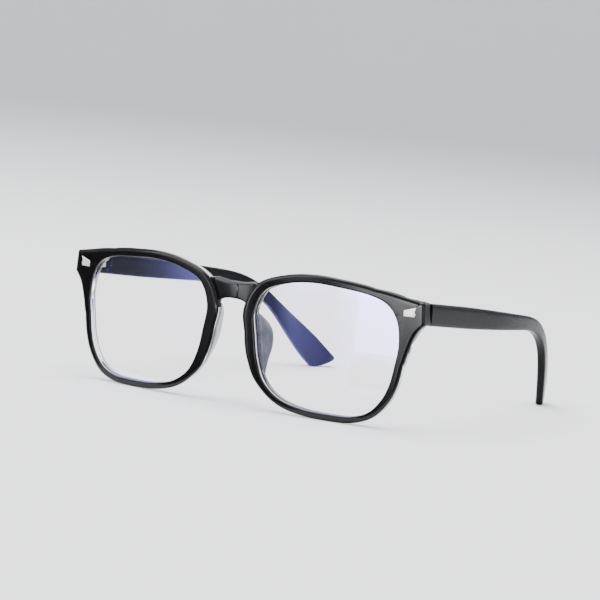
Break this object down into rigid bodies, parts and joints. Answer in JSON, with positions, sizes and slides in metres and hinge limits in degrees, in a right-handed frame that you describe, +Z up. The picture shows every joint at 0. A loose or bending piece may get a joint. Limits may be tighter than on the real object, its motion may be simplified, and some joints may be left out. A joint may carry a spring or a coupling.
{
  "type": "spectacles",
  "caption": "Square-shouldered full-rim spectacles with a black front over a clear liner, blue-filter plano lenses, metal corner plaques and folding temples.",
  "frame": {"origin": "on the floor plane under the middle of the object's box, with the spectacles standing open on their rims and temple tips", "axes": "+X to the wearer's left, +Y from the lenses towards the temple tips, +Z up"},
  "size_m": [0.14, 0.1462, 0.0479],
  "materials": {
    "black_gloss": "polished black moulded front",
    "temple_black": "satin to gloss black temple",
    "clear_resin": "crystal clear resin with polished faces",
    "coated_lens": "clear lens with a blue-violet reflecting filter coat",
    "plaque_metal": "polished warm silver",
    "hinge_metal": "satin nickel silver",
    "core_wire": "drawn nickel silver wire",
    "nylon": "natural nylon"
  },
  "bodies": {
    "front": {"front_face": "black_gloss", "liner_left": "clear_resin", "liner_right": "clear_resin", "lens_left": "coated_lens", "lens_right": "coated_lens", "nose_pad_left": "clear_resin", "nose_pad_right": "clear_resin", "plaque_left": "plaque_metal", "plaque_right": "plaque_metal", "hinge_front_left": "hinge_metal", "hinge_front_right": "hinge_metal", "hinge_screw_left": "hinge_metal", "hinge_screw_right": "hinge_metal", "hinge_washer_left": "nylon", "hinge_washer_right": "nylon"},
    "left_temple": {"temple_left": "temple_black", "hinge_temple_left": "hinge_metal", "temple_core_left": "core_wire"},
    "right_temple": {"temple_right": "temple_black", "hinge_temple_right": "hinge_metal", "temple_core_right": "core_wire"}
  },
  "joints": [
    {"name": "left_fold", "type": "hinge", "parent": "front", "child": "left_temple", "pos_m": [0.0649, -0.05981, 0.03949], "axis": [0, -0.0402, 0.9992], "range_deg": [0, 82]},
    {"name": "right_fold", "type": "hinge", "parent": "front", "child": "right_temple", "pos_m": [-0.0649, -0.05981, 0.03949], "axis": [0, 0.0402, -0.9992], "range_deg": [-2, 72]}
  ]
}
